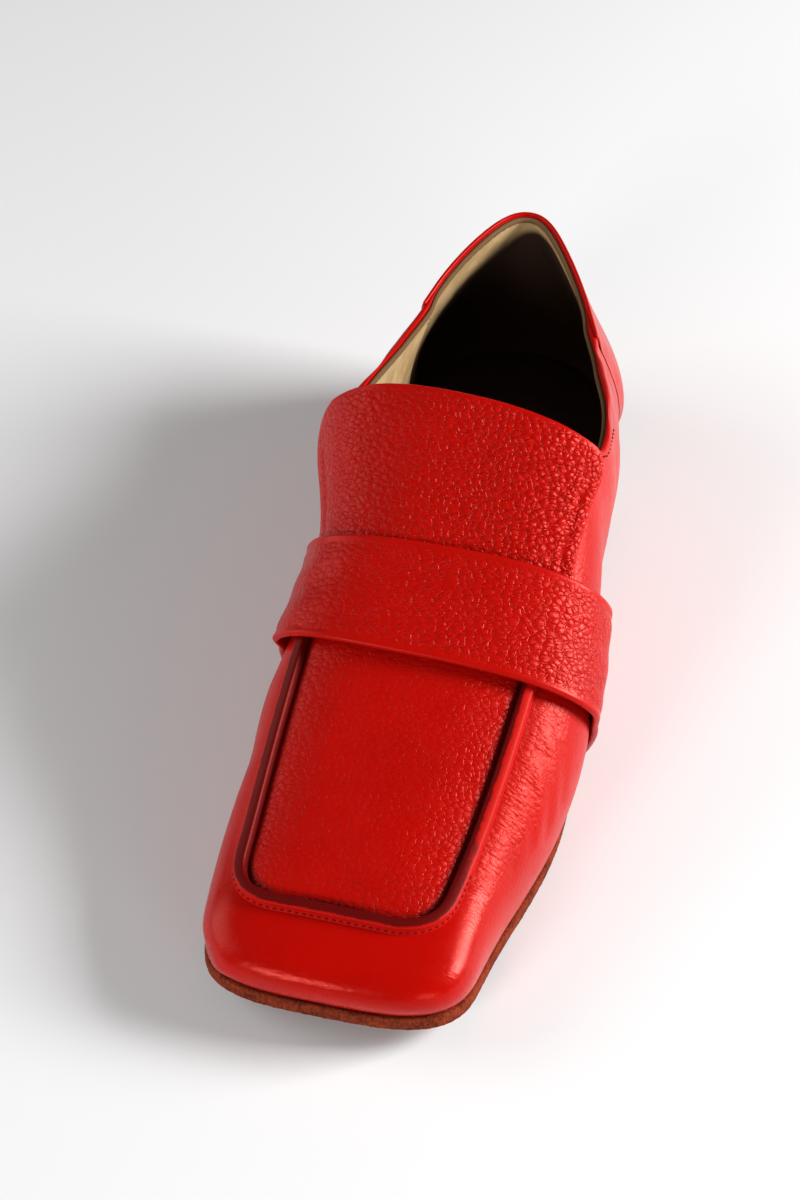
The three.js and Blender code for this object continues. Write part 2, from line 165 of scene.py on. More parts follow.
HEEL_PINCH = {"share": 0.603, "x": -0.6, "length": 61, "base": 17, "top": 72}
COLLAR = table("s z", (0, 72.5), (12, 72), (44, 63.3), (70, 67.4), (92, 70.8), (110, 72.6))
THROAT = (104, 130)
TONGUE = {"top": 110.6, "slant": 5.6, "free": 138, "base": 157, "flare": 3.6, "flare_power": 1.5}
TONGUE_TOP = {"outer": 0.452, "inner": 0.55}
TONGUE_BASE = {"outer": 0.397, "inner": 0.53}
TONGUE_CORNER = {"outer": 7, "inner": 13}
STRAP_REAR = {"s": 146, "slant": 0, "outer_lean": 0.3, "inner_lean": 0.53}
STRAP_FRONT = {"s": 174, "slant": 4.5, "outer_lean": 0.5, "inner_lean": 0.4}
STRAP_END = 0.955
COUNTER_SKIVE = {"front": 7, "collar": (2, 9), "edge": 0.1, "round": 0.6}
STRAP_SEAT = {"outer": (0.58, 0.74), "inner": (0.54, 0.62)}
APRON = {"front": 241.8, "slant": 0.035, "back": 164, "corner": 13, "power": 2.6}
APRON_EDGES = table("s outer inner", (164, 31.8, -28.8), (200, 28, -30.6), (240, 21.8, -31))
BEHIND_APRON = {"share": 0.6, "s": (118, 145)}
COUNTER = {"collar": 44.4, "sole": 35, "slant": 2.2, "foot": 0.05, "crowding": 1.25}


def lerp(a, b, t):
    return a + (b - a) * t


def smoothstep(value, low, high):
    t = np.clip((value - low) / (high - low), 0, 1)
    return t * t * (3 - 2 * t)


def bell(distance, width):
    return np.exp(-((distance / width) ** 2))


def steady(value):
    """A function with one value at every station."""
    return lambda s: np.full_like(s, value)


def crowded(count):
    """Numbers from 0 to 1 that lie closer together near both ends."""
    return (1 - np.cos(np.linspace(0, math.pi, count + 1))) / 2


def spline(rows, column):
    """Natural cubic spline of one column of a table against s, straight on beyond the table's ends."""
    s, v = rows["s"], rows[column]
    step = np.diff(s)
    slope = np.diff(v) / step
    last = len(s) - 1
    system = np.eye(last + 1)
    turn = np.zeros(last + 1)
    for i in range(1, last):
        system[i, i - 1 : i + 2] = step[i - 1], 2 * (step[i - 1] + step[i]), step[i]
        turn[i] = 6 * (slope[i] - slope[i - 1])
    bend = np.linalg.solve(system, turn)

    def value(at):
        held = np.clip(at, s[0], s[-1])
        i = np.clip(np.searchsorted(s, held, side="right") - 1, 0, last - 1)
        t = held - s[i]
        start = slope[i] - step[i] * (2 * bend[i] + bend[i + 1]) / 6
        change = (bend[i + 1] - bend[i]) / step[i]
        level = v[i] + t * (start + t * (bend[i] / 2 + t * change / 6))
        return level + (at - held) * (start + t * (bend[i] + t * change / 2))

    return value


crest_z = spline(CREST, "z")
crest_x = spline(CREST, "x")
collar_z = spline(COLLAR, "z")
underside = spline(SOLE_BOTTOM, "z")
seam_edge = {side: spline(APRON_EDGES, side) for side in ("outer", "inner")}
profile = {
    column: [spline(side, column) for side in (OUTER_SIDE, INNER_SIDE)]
    for column in ("wall", "crown", "bulge")
}


def crest_slope(s):
    return crest_z(s + 0.5) - crest_z(s - 0.5)


def sole_bottom(s):
    return np.clip(underside(s), 0, HEEL_HEIGHT)


def sole_top(s):
    return sole_bottom(s) + SOLE_THICKNESS


def feather_z(s):
    return sole_top(s) + GAP


def half_outline(side):
    """One half of the feather edge from heel to toe: x, s and the share of its length."""
    s = UPPER_LENGTH * crowded(OUTLINE_STEPS)
    heel = np.clip(1 - s / HEEL_END["length"], 0, 1)
    toe = np.clip(1 - (UPPER_LENGTH - s) / TOE_END["length"], 0, 1)
    heel_round = (1 - heel ** HEEL_END["power"]) ** (1 / HEEL_END["power"])
    toe_round = (1 - toe ** TOE_END["power"]) ** (1 / TOE_END["power"])
    turn = np.clip((s - TOE_END["from"]) / (UPPER_LENGTH - TOE_END["from"]), 0, 1)
    middle = TOE_END["swing"] * turn
    width = spline(OUTLINE, "outer" if side > 0 else "inner")(s)
    x = middle + (side * width - middle) * heel_round * toe_round
    s = s + TOE_END["slant"] * turn * (x - middle)
    length = np.concatenate(([0], np.cumsum(np.hypot(np.diff(x), np.diff(s)))))
    return x, s, length / length[-1]


outlines = {1: half_outline(1), -1: half_outline(-1)}


def past_ends(tau):
    return (tau < 0) | (tau > 1)


def folded(tau):
    """tau brought back between heel and toe from past either of them."""
    return np.where(tau < 0, -tau, np.where(tau > 1, 2 - tau, tau))


def half_at(tau, side):
    x, s, share = outlines[side]
    return np.interp(tau, share, x), np.interp(tau, share, s)


def feather(tau, side):
    """Points of the feather edge in plan. Past either end they go on along the other side."""
    side = np.where(past_ends(tau), -side, side)
    outer, inner = (half_at(folded(tau), half) for half in (1, -1))
    return [np.where(side > 0, a, b) for a, b in zip(outer, inner)]


def station_of(tau):
    return (feather(tau, 1)[1] + feather(tau, -1)[1]) / 2


def outline(tau, side, distance):
    """Points of the feather edge moved out, in plan, by a distance."""
    before_x, before_s = feather(tau - NEAR, side)
    after_x, after_s = feather(tau + NEAR, side)
    ahead_x, ahead_s = after_x - before_x, after_s - before_s
    run = np.hypot(ahead_x, ahead_s)
    x, s = feather(tau, side)
    return x + side * distance * ahead_s / run, s - side * distance * ahead_x / run


def place(x, s, z):
    return np.stack(np.broadcast_arrays(x - CENTRE_X, CENTRE_S - s, z), axis=-1).astype(float)


def along_foot(points):
    return CENTRE_S - points[..., 1]


def crown_station(station):
    def soft(d):
        return (d + np.hypot(d, CROWN_BLEND)) / 2

    return HEEL_CROWN + soft(station - HEEL_CROWN) - soft(station - TOE_CROWN)


def section(tau, share, side):
    """Outer face of the upper on one side: a cubic from the feather edge (share 0) to the crest (1)."""
    foot_x, foot_s = feather(tau, side)
    station = station_of(tau)
    top = crown_station(station)
    to_x, to_s = crest_x(top) - foot_x, top - foot_s
    run = np.hypot(to_x, to_s)
    rise = crest_z(top) - feather_z(foot_s)
    fall = crest_slope(top) * to_s / run
    sides = ((outer(station), inner(station)) for outer, inner in profile.values())
    wall, crown, bulge = (np.where(side > 0, outer, inner) for outer, inner in sides)
    handle = crown * run
    rest = 1 - share
    b1, b2, b3 = 3 * rest * rest * share, 3 * rest * share * share, share**3
    up = b1 * wall * rise + b2 * (rise - fall * handle) + b3 * rise
    tuck = TUCK["depth"] * np.clip(1 - up / TUCK["height"], 0, 1) ** 2
    inward = (tuck - b1 * bulge + b2 * (run - handle) + b3 * run) / run
    return pinch_heel(foot_x + inward * to_x, foot_s + inward * to_s, feather_z(foot_s) + up)


def pinch_heel(x, s, z):
    near = 1 - smoothstep(s, 0, HEEL_PINCH["length"])
    high = smoothstep(z, HEEL_PINCH["base"], HEEL_PINCH["top"])
    return place(lerp(x, HEEL_PINCH["x"], HEEL_PINCH["share"] * near * high), s, z)


def form(tau, girth):
    """Points of the upper's outer face. Past heel or toe they go on over the other side."""
    tau, girth = np.broadcast_arrays(np.asarray(tau, float), np.asarray(girth, float))
    girth = np.where(past_ends(tau), -girth, girth)
    return section(folded(tau), 1 - np.abs(girth), np.where(girth < 0, -1, 1))


def unit(vectors):
    return vectors / np.maximum(np.linalg.norm(vectors, axis=-1, keepdims=True), 1e-12)


def form_normal(tau, girth):
    """Directions out of the upper's face, on the crest those just beside it."""
    girth = np.where(np.abs(girth) < OFF_CREST, OFF_CREST, girth)
    along = form(tau + NEAR, girth) - form(tau - NEAR, girth)
    across = form(tau, np.minimum(girth + NEAR, 1)) - form(tau, np.maximum(girth - NEAR, -1))
    return unit(np.cross(along, across))


def off_form(tau, girth, distance):
    return form(tau, girth) + form_normal(tau, girth) * np.asarray(distance)[..., None]


def root(like, rising):
    """The number between 0 and 1, for each item of an array, where a rising function passes nought."""
    low, high = np.zeros_like(like, float), np.ones_like(like, float)
    for _ in range(HALVINGS):
        middle = (low + high) / 2
        below = rising(middle) < 0
        low = np.where(below, middle, low)
        high = np.where(below, high, middle)
    return (low + high) / 2


def feather_tau(s, side):
    """tau where one side of the feather edge passes a station."""
    return root(s, lambda tau: feather(tau, side)[1] - s)


def collar_share(tau, side):
    """Share of a half section, from the feather edge up, that the upper covers."""

    def above(share):
        points = section(tau, share, side)
        return points[..., 2] - collar_z(along_foot(points))

    throat = smoothstep(station_of(tau), *THROAT)
    return lerp(root(tau, above), 1, throat)


def tau_at(girth, station, lean=0.0):
    """tau on lines of the last where they cross a station that leans back as the surface falls."""
    girth, station, lean = np.broadcast_arrays(girth, np.asarray(station, float), lean)
    crown = crest_z(station)

    def before(tau):
        points = form(tau, girth)
        return along_foot(points) + lean * (crown - points[..., 2]) - station

    return root(station, before)


def inside_apron(points):
    """Above nought inside the apron's outline in plan, whose two front corners are rounded."""
    s = along_foot(points)
    low, high = seam_edge["inner"](s), seam_edge["outer"](s)
    x = points[..., 0] + CENTRE_X
    from_edge = (high - low) / 2 - np.abs(x - (low + high) / 2)
    sideways = np.maximum(1 - from_edge / APRON["corner"], 0)
    forward = np.maximum(1 - (APRON["front"] + APRON["slant"] * x - s) / APRON["corner"], 0)
    return 1 - (sideways ** APRON["power"] + forward ** APRON["power"]) ** (1 / APRON["power"])


def seam_share(tau, side):
    """Share of a half section below the apron seam, carried on behind it as a plain line."""
    sewn = root(tau, lambda share: inside_apron(section(tau, share, side)))
    plain = BEHIND_APRON["share"] * collar_share(tau, side)
    return lerp(plain, sewn, smoothstep(station_of(tau), *BEHIND_APRON["s"]))


# Creases and dents of the worn-in leather: each is a line over the upper between two places (station and
# share on one side), with its half width and its depth, below nought for a ridge.
CREASES = table(
    "side s0 up0 s1 up1 width depth",
    (1, 178, 0.52, 190, 0.3, 2.2, 0.45),
    (1, 186, 0.5, 199, 0.28, 2.0, 0.4),
    (1, 195, 0.5, 206, 0.32, 1.8, 0.35),
    (1, 203, 0.5, 215, 0.34, 1.8, 0.3),
    (1, 182, 0.5, 195, 0.28, 2.4, -0.35),
    (1, 191, 0.5, 203, 0.3, 2.2, -0.3),
    (-1, 196, 0.36, 206, 0.1, 6, 0.6),
    (-1, 178, 0.4, 186, 0.12, 5, -0.4),
    (1, 60, 0.75, 52, 0.3, 5, 0.7),
    (1, 76, 0.8, 92, 0.35, 8, 0.8),
    (-1, 70, 0.8, 84, 0.3, 8, 0.8),
    (1, 112, 0.55, 126, 0.15, 7, 0.8),
    (-1, 108, 0.55, 122, 0.15, 7, 0.6),
    (-1, 244, 0.04, 252, 0.16, 3, 0.5),
    (-1, 254, 0.04, 257, 0.16, 3, -0.4),
)
CREASE_SPOTS = 24


def crease_relief(points):
    """Height that the creases add to points of the upper."""
    height = np.zeros(points.shape[:-1])
    t = np.linspace(0, 1, CREASE_SPOTS)
    for side, s0, up0, s1, up1, width, depth in zip(*CREASES.values()):
        girth = side * (1 - lerp(up0, up1, t))
        line = form(tau_at(girth, lerp(s0, s1, t)), girth)
        nearest = np.full(points.shape[:-1], np.inf)
        for spot in line:
            nearest = np.minimum(nearest, np.linalg.norm(points - spot, axis=-1))
        height -= depth * bell(nearest, width)
    return height


def edge_round(distance, radius):
    """Share of a panel's full thickness at a distance from its rounded edge."""
    t = np.clip(distance / radius, 0, 1)
    return np.sqrt(1 - (1 - t) ** 2)


def run_along(points, axis):
    """Distance along a grid of points from its first row or column."""
    steps = np.linalg.norm(np.diff(points, axis=axis), axis=-1)
    start = np.zeros_like(np.take(steps, [0], axis=axis))
    return np.concatenate((start, np.cumsum(steps, axis=axis)), axis=axis)


def grid_faces(rows, columns, flip=False):
    a = (np.arange(rows - 1)[:, None] * columns + np.arange(columns - 1)).ravel()
    quads = np.stack((a, a + columns, a + columns + 1, a + 1), axis=-1)
    return quads[:, ::-1] if flip else quads


def put_in_scene(name, data):
    made = bpy.data.objects.new(name, data)
    bpy.context.scene.collection.objects.link(made)
    return made


class Piece:
    """Collects grids of points, in millimetres, with named values at each, and makes them one object."""

    def __init__(self, name):
        self.name = name
        self.points = []
        self.faces = []
        self.values = {}
        self.count = 0

    def grid(self, points, flip=False, **values):
        flat = points.reshape(-1, 3)
        self.points.append(flat)
        self.faces.append(grid_faces(*points.shape[:2], flip) + self.count)
        self.count += len(flat)
        for key, value in values.items():
            spread = np.broadcast_to(value, points.shape[:-1]).ravel()
            self.values.setdefault(key, []).append(spread)

    def build(self, material, slot, *nodes, sharp=None):
        mesh = bpy.data.meshes.new(self.name)
        corners = [face for block in self.faces for face in block.tolist()]
        mesh.from_pydata((np.concatenate(self.points) * MM).tolist(), [], corners)
        for key, blocks in self.values.items():
            attribute = mesh.attributes.new(key, "FLOAT", "POINT")
            attribute.data.foreach_set("value", np.concatenate(blocks).astype(np.float32))
        weld(mesh)
        mesh.materials.append(material)
        mesh.polygons.foreach_set("use_smooth", [True] * len(mesh.polygons))
        if sharp is not None:
            mesh.set_sharp_from_angle(angle=math.radians(sharp))
        made = put_in_scene(self.name, mesh)
        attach(made, BODY)
        if nodes:
            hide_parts(*nodes)


def weld(mesh):
    """Joins points that lie on one spot, closes small holes and turns the faces outwards."""
    work = bmesh.new()
    work.from_mesh(mesh)
    bmesh.ops.remove_doubles(work, verts=work.verts, dist=WELD * MM)
    bmesh.ops.dissolve_degenerate(work, edges=work.edges, dist=SLIVER * MM)
    bmesh.ops.holes_fill(work, edges=work.edges, sides=SMALL_HOLE)
    bmesh.ops.recalc_face_normals(work, faces=work.faces)
    work.to_mesh(mesh)
    work.free()


FAR = 1e3
COLLAR_BEAD = {"height": 0.55, "below": 1.5, "width": 1.5}
PLUG = {"s": (138, 150), "swell": 0.8, "over": (2, 16), "sunk": 0.9, "width": 3}
VAMP_DIP = {"depth": 0.25, "width": 4}
SEAM_BELOW_TOP = 0.95
TOP_PART = 0.1
# Where the looks of the upper's leather begin and end: distances out from the seam, stations and girths.
LOOKS = {
    "apron_rim": (-2, 0),
    "apron": (140, 150),
    "toe": (212, 240),
    "back": (55, 110),
    "outer_side": (0.1, 0.3),
    "wrinkles": (165, 180),
    "wrinkles_end": (226, 240),
    "wrinkles_out": (6, 20),
    "toe_wrinkles": (243, 252),
    "groove": (150, 160),
}
GRAIN = {"vamp": 0.22, "smooth": 0.04, "inner_side": 0.5, "apron_inner": 0.42, "apron_outer": 0.75}
TOE_WRINKLES = 0.4
TOE_GLOSS = 0.85
# Painted shade and dirt in the groove inside the apron seam: its distance in from the seam, its width.
GROOVE = {"inside": 2, "width": 1.3}
# Painted shade: how soon the lining darkens below the rim along the foot, how much sooner on the outer
# side.
SHADE = table("s rate", (4, 2), (18, 1.5), (28, 0.45), (100, 0.35))
SHADE_OUTER = {"x": (-16, 8), "times": 2.8}
DEEPEST = 60
# Numbers of points along and across the grids.
NET = {
    "upper": (230, 34, 40),
    "lining": (170, 16, 26),
    "outsole": (420, 10),
    "heel": (120, 12),
    "insole": (160, 10),
    "tongue": (44, 26, 96),
    "strap": (260, 34),
    "counter": (161, 56),
    "seam_side": 190,
    "collar_stitches": 60,
    "join_stitches": 40,
}


def wall_rows(tau, side, top, lower, higher):
    """Girths of a half net, with rows crowded towards feather edge, seam and collar."""
    seam = np.minimum(seam_share(tau, side), top * SEAM_BELOW_TOP)
    first = seam[:, None] * crowded(lower)
    second = seam[:, None] + (top - seam)[:, None] * crowded(higher)[1:]
    return side * (1 - np.concatenate((first, second), axis=1))


def leather_depth(s):
    """Thickness of the upper's leather, which is skived under the heel counter."""
    return lerp(SKIVED["leather"], LEATHER, smoothstep(s, *SKIVED["s"]))


def wall_top(tau, side, covered, drop):
    """Share of a half section at the wall's rim, which lies below the collar by a drop."""
    near_top = section(tau, covered, side) - section(tau, covered * (1 - TOP_PART), side)
    tall = np.linalg.norm(near_top, axis=-1) / TOP_PART
    return np.where(covered < 1, covered * (1 - drop(station_of(tau)) / tall), 1)


def wall_piece(name, steps, drop, start, thickness, relief=None):
    """A wall over the last, from a depth inwards, open underneath and at the collar, with rounded rims."""
    piece = Piece(name)
    along, lower, higher = steps
    for side in (1, -1):
        tau = np.linspace(0, 1, along + 1)
        covered = collar_share(tau, side)
        girth = wall_rows(tau, side, wall_top(tau, side, covered, drop), lower, higher)
        tau = np.broadcast_to(tau[:, None], girth.shape)
        base = form(tau, girth)
        run = run_along(base, 1)
        from_top = np.where(covered[:, None] < 1, run[:, -1:] - run, FAR)
        s = along_foot(base)
        half = thickness(s) / 2
        full = half * edge_round(np.minimum(from_top, run), half)
        from_seam = seam_distance(base, girth, tau)
        raised = relief(base, tau, from_seam, from_top) if relief else 0
        values = wall_values(base, girth, from_seam, from_top)
        middle = -start(s) - half
        piece.grid(off_form(tau, girth, middle + full * (1 + raised / half)), **values)
        piece.grid(off_form(tau, girth, middle - full), flip=True, **values)
    return piece


def seam_distance(base, girth, tau):
    """Distance over the upper from the apron seam's line, below nought inside the apron."""
    side = np.where(girth < 0, -1, 1)
    share = seam_share(tau, side)
    away = np.linalg.norm(base - section(tau, share, side), axis=-1)
    return np.where(np.abs(girth) < 1 - share, -away, away)


def wall_values(base, girth, from_seam, from_top):
    """Values of a wall: grain, wrinkles, gloss, groove's painted shade and dirt, depth below rim."""
    s = along_foot(base)
    apron = (1 - smoothstep(from_seam, *LOOKS["apron_rim"])) * smoothstep(s, *LOOKS["apron"])
    toe = smoothstep(s, *LOOKS["toe"])
    back = 1 - smoothstep(s, *LOOKS["back"])
    outer_side = smoothstep(girth, *LOOKS["outer_side"])
    beside = outer_side * smoothstep(s, *LOOKS["wrinkles"]) * (1 - smoothstep(s, *LOOKS["wrinkles_end"]))
    wrinkles = beside * (1 - smoothstep(from_seam, *LOOKS["wrinkles_out"])) * (1 - apron)
    by_side = lerp(GRAIN["inner_side"], 1, outer_side)
    plain = lerp(GRAIN["vamp"], GRAIN["smooth"], np.maximum(toe, back)) * by_side
    on_apron = lerp(GRAIN["apron_inner"], GRAIN["apron_outer"], outer_side)
    # The lining's painted shade comes sooner on the outer side.
    sooner = lerp(1, SHADE_OUTER["times"], smoothstep(base[..., 0], *SHADE_OUTER["x"]))
    return {
        "grain": lerp(plain, on_apron, apron),
        "fine": wrinkles + TOE_WRINKLES * smoothstep(s, *LOOKS["toe_wrinkles"]),
        "gloss": TOE_GLOSS * toe * (1 - apron),
        # Painted shade and dirt in the groove inside the apron seam.
        "groove": bell(from_seam + GROOVE["inside"], GROOVE["width"]) * smoothstep(s, *LOOKS["groove"]),
        "below": np.minimum(from_top, DEEPEST),
        # How soon painted shade darkens the lining below the rim.
        "shade": np.interp(s, *SHADE.values()) * sooner,
    }


def upper_relief(base, tau, from_seam, from_top):
    """Heights of the swelling plug, its sunk edge, the dip beside it, creases and rolled collar."""
    on_seam = smoothstep(station_of(tau), *PLUG["s"])
    inside = -from_seam
    plug = PLUG["swell"] * smoothstep(inside, *PLUG["over"]) - PLUG["sunk"] * bell(inside, PLUG["width"])
    vamp = -VAMP_DIP["depth"] * bell(from_seam, VAMP_DIP["width"])
    bead = COLLAR_BEAD["height"] * bell(from_top - COLLAR_BEAD["below"], COLLAR_BEAD["width"])
    return crease_relief(base) + on_seam * np.where(inside > 0, plug, vamp) + bead


def make_upper(leather):
    def drop(s):
        return SKIVED["drop"] * (1 - smoothstep(s, *SKIVED["s"]))

    piece = wall_piece("upper_leather", NET["upper"], drop, steady(0), leather_depth, upper_relief)
    piece.build(leather, "upper_leather", "upper")


def make_lining(lining):
    def start(s):
        return leather_depth(s) + LINING_GAP

    piece = wall_piece("lining", NET["lining"], steady(LINING_DROP), start, steady(LINING))
    piece.build(lining, "lining_leather")


def layer(tau, across, grow, height):
    """Grid of points inside an outline: the feather edge moved out by grow, at heights along the foot."""
    inner_x, inner_s = outline(tau, -1, grow)
    outer_x, outer_s = outline(tau, 1, grow)
    share = np.linspace(0, 1, across + 1)
    s = inner_s[:, None] + (outer_s - inner_s)[:, None] * share
    return place(inner_x[:, None] + (outer_x - inner_x)[:, None] * share, s, height(s))


def rim_of(grid):
    """The border of a grid as one loop: along its last column, last row, first column and first row."""
    return np.concatenate((grid[:, -1], grid[-1, -2:0:-1], grid[::-1, 0], grid[0, 1:-1]))


CORNER_TURNS = np.linspace(0, math.pi / 2, 5)


def slab(name, end, grow, top, bottom, net, corner, taper=0, rough=0, levels=5):
    """A flat piece with rounded edges, from tau 0 to its end, between two heights along the foot."""
    along, across = net
    tau = np.linspace(0, end, along)
    sides = np.linspace(1, 0, levels + 2)[1:-1]
    rings = [(corner * (1 - math.sin(a)), 1, -corner * (1 - math.cos(a))) for a in CORNER_TURNS]
    rings += [(taper * (1 - t), t, corner * (1 - 2 * t)) for t in sides]
    rings += [(taper + corner * (1 - math.cos(a)), 0, corner * (1 - math.sin(a))) for a in CORNER_TURNS]

    def ring(inset, level, lift):
        return layer(tau, across, grow - inset, lambda s: lerp(bottom(s), top(s), level) + lift)

    grids = [ring(*row) for row in rings]
    loops = np.array([rim_of(grid) for grid in grids])
    if rough:
        loops = roughen(loops, rough)
    piece = Piece(name)
    piece.grid(np.concatenate((loops, loops[:, :1]), axis=1))
    piece.grid(grids[0])
    piece.grid(grids[-1], flip=True)
    return piece


# Waves of a cut and sanded edge: how many to a millimetre, and their share.
ROUGH_WAVES = ((0.9, 1), (2.3, 0.6))


def roughen(loops, amount):
    """Moves the points of an edge in and out a little, but not its first and last ring."""

    def wave_at(spot):
        return sum(share * noise.noise(Vector(spot) * rate) for rate, share in ROUGH_WAVES)

    out = unit((loops - loops.mean(axis=(0, 1))) * (1, 1, 0))
    wave = np.array([wave_at(spot) for spot in loops.reshape(-1, 3)]).reshape(loops.shape[:2])
    wave[[0, -1]] = 0
    return loops + out * (amount * wave)[..., None]


def make_outsole(material):
    edge = {"corner": 0.7, "rough": 0.14}
    piece = slab("outsole_leather", 1, SOLE_LEDGE, feather_z, sole_bottom, NET["outsole"], **edge)
    piece.build(material, "sole_leather", "outsole", sharp=60)


def make_heel(material):
    end = feather_tau(HEEL_FRONT, 1)
    top = steady(HEEL_HEIGHT - HEEL_GAP)
    edge = {"corner": 0.6, "taper": HEEL_TAPER, "rough": 0.06, "levels": 9}
    piece = slab("heel_block", end, SOLE_LEDGE, top, steady(0), NET["heel"], **edge)
    piece.build(material, "heel_stack", "heel", sharp=50)


def make_insole(material):
    def top(s):
        return feather_z(s) + INSOLE_THICKNESS

    piece = slab("insole_sock", 1, -INSOLE_INSET, top, feather_z, NET["insole"], corner=0.6)
    piece.build(material, "lining_leather", "insole")


def panel(name, tau, girth, seat, thickness, radius, relief, **values):
    """A panel on a grid of places, seated over the last, with all its edges rounded."""
    base = form(tau, girth)
    full = 1
    for axis in (0, 1):
        run = run_along(base, axis)
        last = np.take(run, [-1], axis=axis)
        full = full * edge_round(run, radius) * edge_round(last - run, radius)
    middle = seat + thickness / 2
    piece = Piece(name)
    piece.grid(off_form(tau, girth, middle + (thickness / 2 + relief) * full), **values)
    piece.grid(off_form(tau, girth, middle - thickness / 2 * full), flip=True, **values)
    return piece


def soft_waves(run, along, inside, waves):
    """Waves over a panel that die out towards its edges."""
    wave = np.sin(run * waves["across"] + along * waves["along"])
    return waves["height"] * wave * smoothstep(inside, *waves["inside"])


def line_inside(inside, line):
    """Depth of a shallow line that runs inside a panel's edges."""
    return line["depth"] * bell(inside - line["inside"], line["width"])


TONGUE_SEAT = 0.15
TONGUE_PRESS = {"depth": 0.5, "inside": 4.5, "width": 0.9, "below_top": (7, 13)}
TONGUE_WAVES = {"height": 0.2, "across": 0.22, "along": 0.05, "inside": (4, 14)}
TONGUE_LOOK = {"outer": (-0.1, 0.3), "grain": (0.85, 1.6), "rim": (0.4, 2), "gloss": 0.25}


def tongue_net():
    """Stations and girths of the tongue's grid, from its base under the strap to its rounded top."""
    straight, turned, across = NET["tongue"]
    rounding = max(TONGUE_CORNER.values())
    turn = TONGUE["top"] + rounding
    angle = np.linspace(0, math.pi / 2, turned)[1:]
    s = np.concatenate((np.linspace(TONGUE["base"], turn, straight), turn - rounding * np.sin(angle)))
    up = np.clip((TONGUE["free"] - s) / (TONGUE["free"] - TONGUE["top"]), 0, 1)
    middle = tau_at(np.zeros_like(s), s)
    half = form(middle, TONGUE_BASE["outer"]) - form(middle, 0)
    reach = np.linalg.norm(half, axis=-1) / TONGUE_BASE["outer"]

    def edge(side):
        radius = TONGUE_CORNER[side]
        short = np.clip(radius - (s - TONGUE["top"]), 0, radius)
        cut = (radius - np.sqrt(radius**2 - short**2)) / reach
        return lerp(TONGUE_BASE[side], TONGUE_TOP[side], up) - cut

    inner, outer = -edge("inner"), edge("outer")
    girth = inner[:, None] + (outer - inner)[:, None] * crowded(across)
    return np.broadcast_to(s[:, None], girth.shape), girth, up[:, None]


def make_tongue(leather):
    """A panel with rounded top corners and a line pressed along each side."""
    s, girth, up = tongue_net()
    tau = tau_at(girth, s + TONGUE["slant"] * up * girth)
    flare = TONGUE["flare"] * up ** TONGUE["flare_power"] * (girth / TONGUE_TOP["outer"]) ** 2
    run = run_along(form(tau, girth), 1)
    from_side = np.minimum(run, run[:, -1:] - run)
    from_top = s - TONGUE["top"]
    from_rim = np.minimum(from_side, from_top)
    pressed = line_inside(from_side, TONGUE_PRESS) * smoothstep(from_top, *TONGUE_PRESS["below_top"])
    outer_half = smoothstep(girth, *TONGUE_LOOK["outer"])
    piece = panel(
        "tongue_leather",
        tau,
        girth,
        TONGUE_SEAT + flare,
        TONGUE_THICKNESS,
        TONGUE_THICKNESS / 2,
        soft_waves(run, s, from_side, TONGUE_WAVES) - pressed,
        grain=lerp(*TONGUE_LOOK["grain"], outer_half) * smoothstep(from_rim, *TONGUE_LOOK["rim"]),
        fine=0,
        gloss=TONGUE_LOOK["gloss"] * outer_half,
    )
    piece.build(leather, "upper_leather", "tongue")


STRAP_WAVES = {"height": 0.18, "across": 0.5, "along": 9, "inside": (2, 8)}
STRAP_ROLL = {"depth": 0.25, "inside": 2.6, "width": 1.0}
STRAP_LOOK = {"outer": (-0.3, 0.2), "grain": (0.5, 1.0), "rim": (0.8, 3.5)}
STRAP_GLOSS = {"outer": (0, 0.4), "most": 0.2}


def strap_net():
    """Places of the strap's grid, from one feather edge to the other, and from rear to front."""
    along, across = NET["strap"]
    girth = STRAP_END * np.linspace(-1, 1, along)
    girth, across = np.broadcast_arrays(girth[:, None], crowded(across)[None, :])
    rear, front = (
        (row["s"] + row["slant"] * girth, np.where(girth < 0, row["inner_lean"], row["outer_lean"]))
        for row in (STRAP_REAR, STRAP_FRONT)
    )
    return tau_at(girth, lerp(rear[0], front[0], across), lerp(rear[1], front[1], across)), girth


def make_strap(leather):
    """A wide band over tongue and apron, with thick rolled edges."""
    tau, girth = strap_net()
    resting = (smoothstep(np.abs(girth), *STRAP_SEAT[side]) for side in ("inner", "outer"))
    seat = GAP + (1 - np.where(girth < 0, *resting)) * (TONGUE_THICKNESS + GAP)
    run = run_along(form(tau, girth), 1)
    from_edge = np.minimum(run, run[:, -1:] - run)
    outer_half = smoothstep(girth, *STRAP_LOOK["outer"])
    piece = panel(
        "strap_leather",
        tau,
        girth,
        seat,
        STRAP_THICKNESS,
        STRAP_THICKNESS / 2,
        soft_waves(run, girth, from_edge, STRAP_WAVES) - line_inside(from_edge, STRAP_ROLL),
        grain=lerp(*STRAP_LOOK["grain"], outer_half) * smoothstep(from_edge, *STRAP_LOOK["rim"]),
        fine=0,
        gloss=STRAP_GLOSS["most"] * smoothstep(girth, *STRAP_GLOSS["outer"]),
    )
    piece.build(leather, "upper_leather", "strap")


COUNTER_SEAT = 0.05
COUNTER_LOOK = {"grain": 0.06, "fine": 0, "gloss": 0.3}


def counter_net():
    """Places of the counter's grid, round the heel from the inner side, and from foot to collar."""
    around, upwards = NET["counter"]
    share = np.linspace(-1, 1, around)[:, None]
    height = lerp(COUNTER["foot"], 1, crowded(upwards))[None, :]
    share, height = np.broadcast_arrays(share, height)
    side = np.where(share < 0, -1, 1)
    front_s = lerp(COUNTER["sole"], COUNTER["collar"] + side * COUNTER["slant"], height)
    tau = feather_tau(front_s, side) * np.abs(share) ** COUNTER["crowding"]
    return tau, side * (1 - height * collar_share(tau, side))


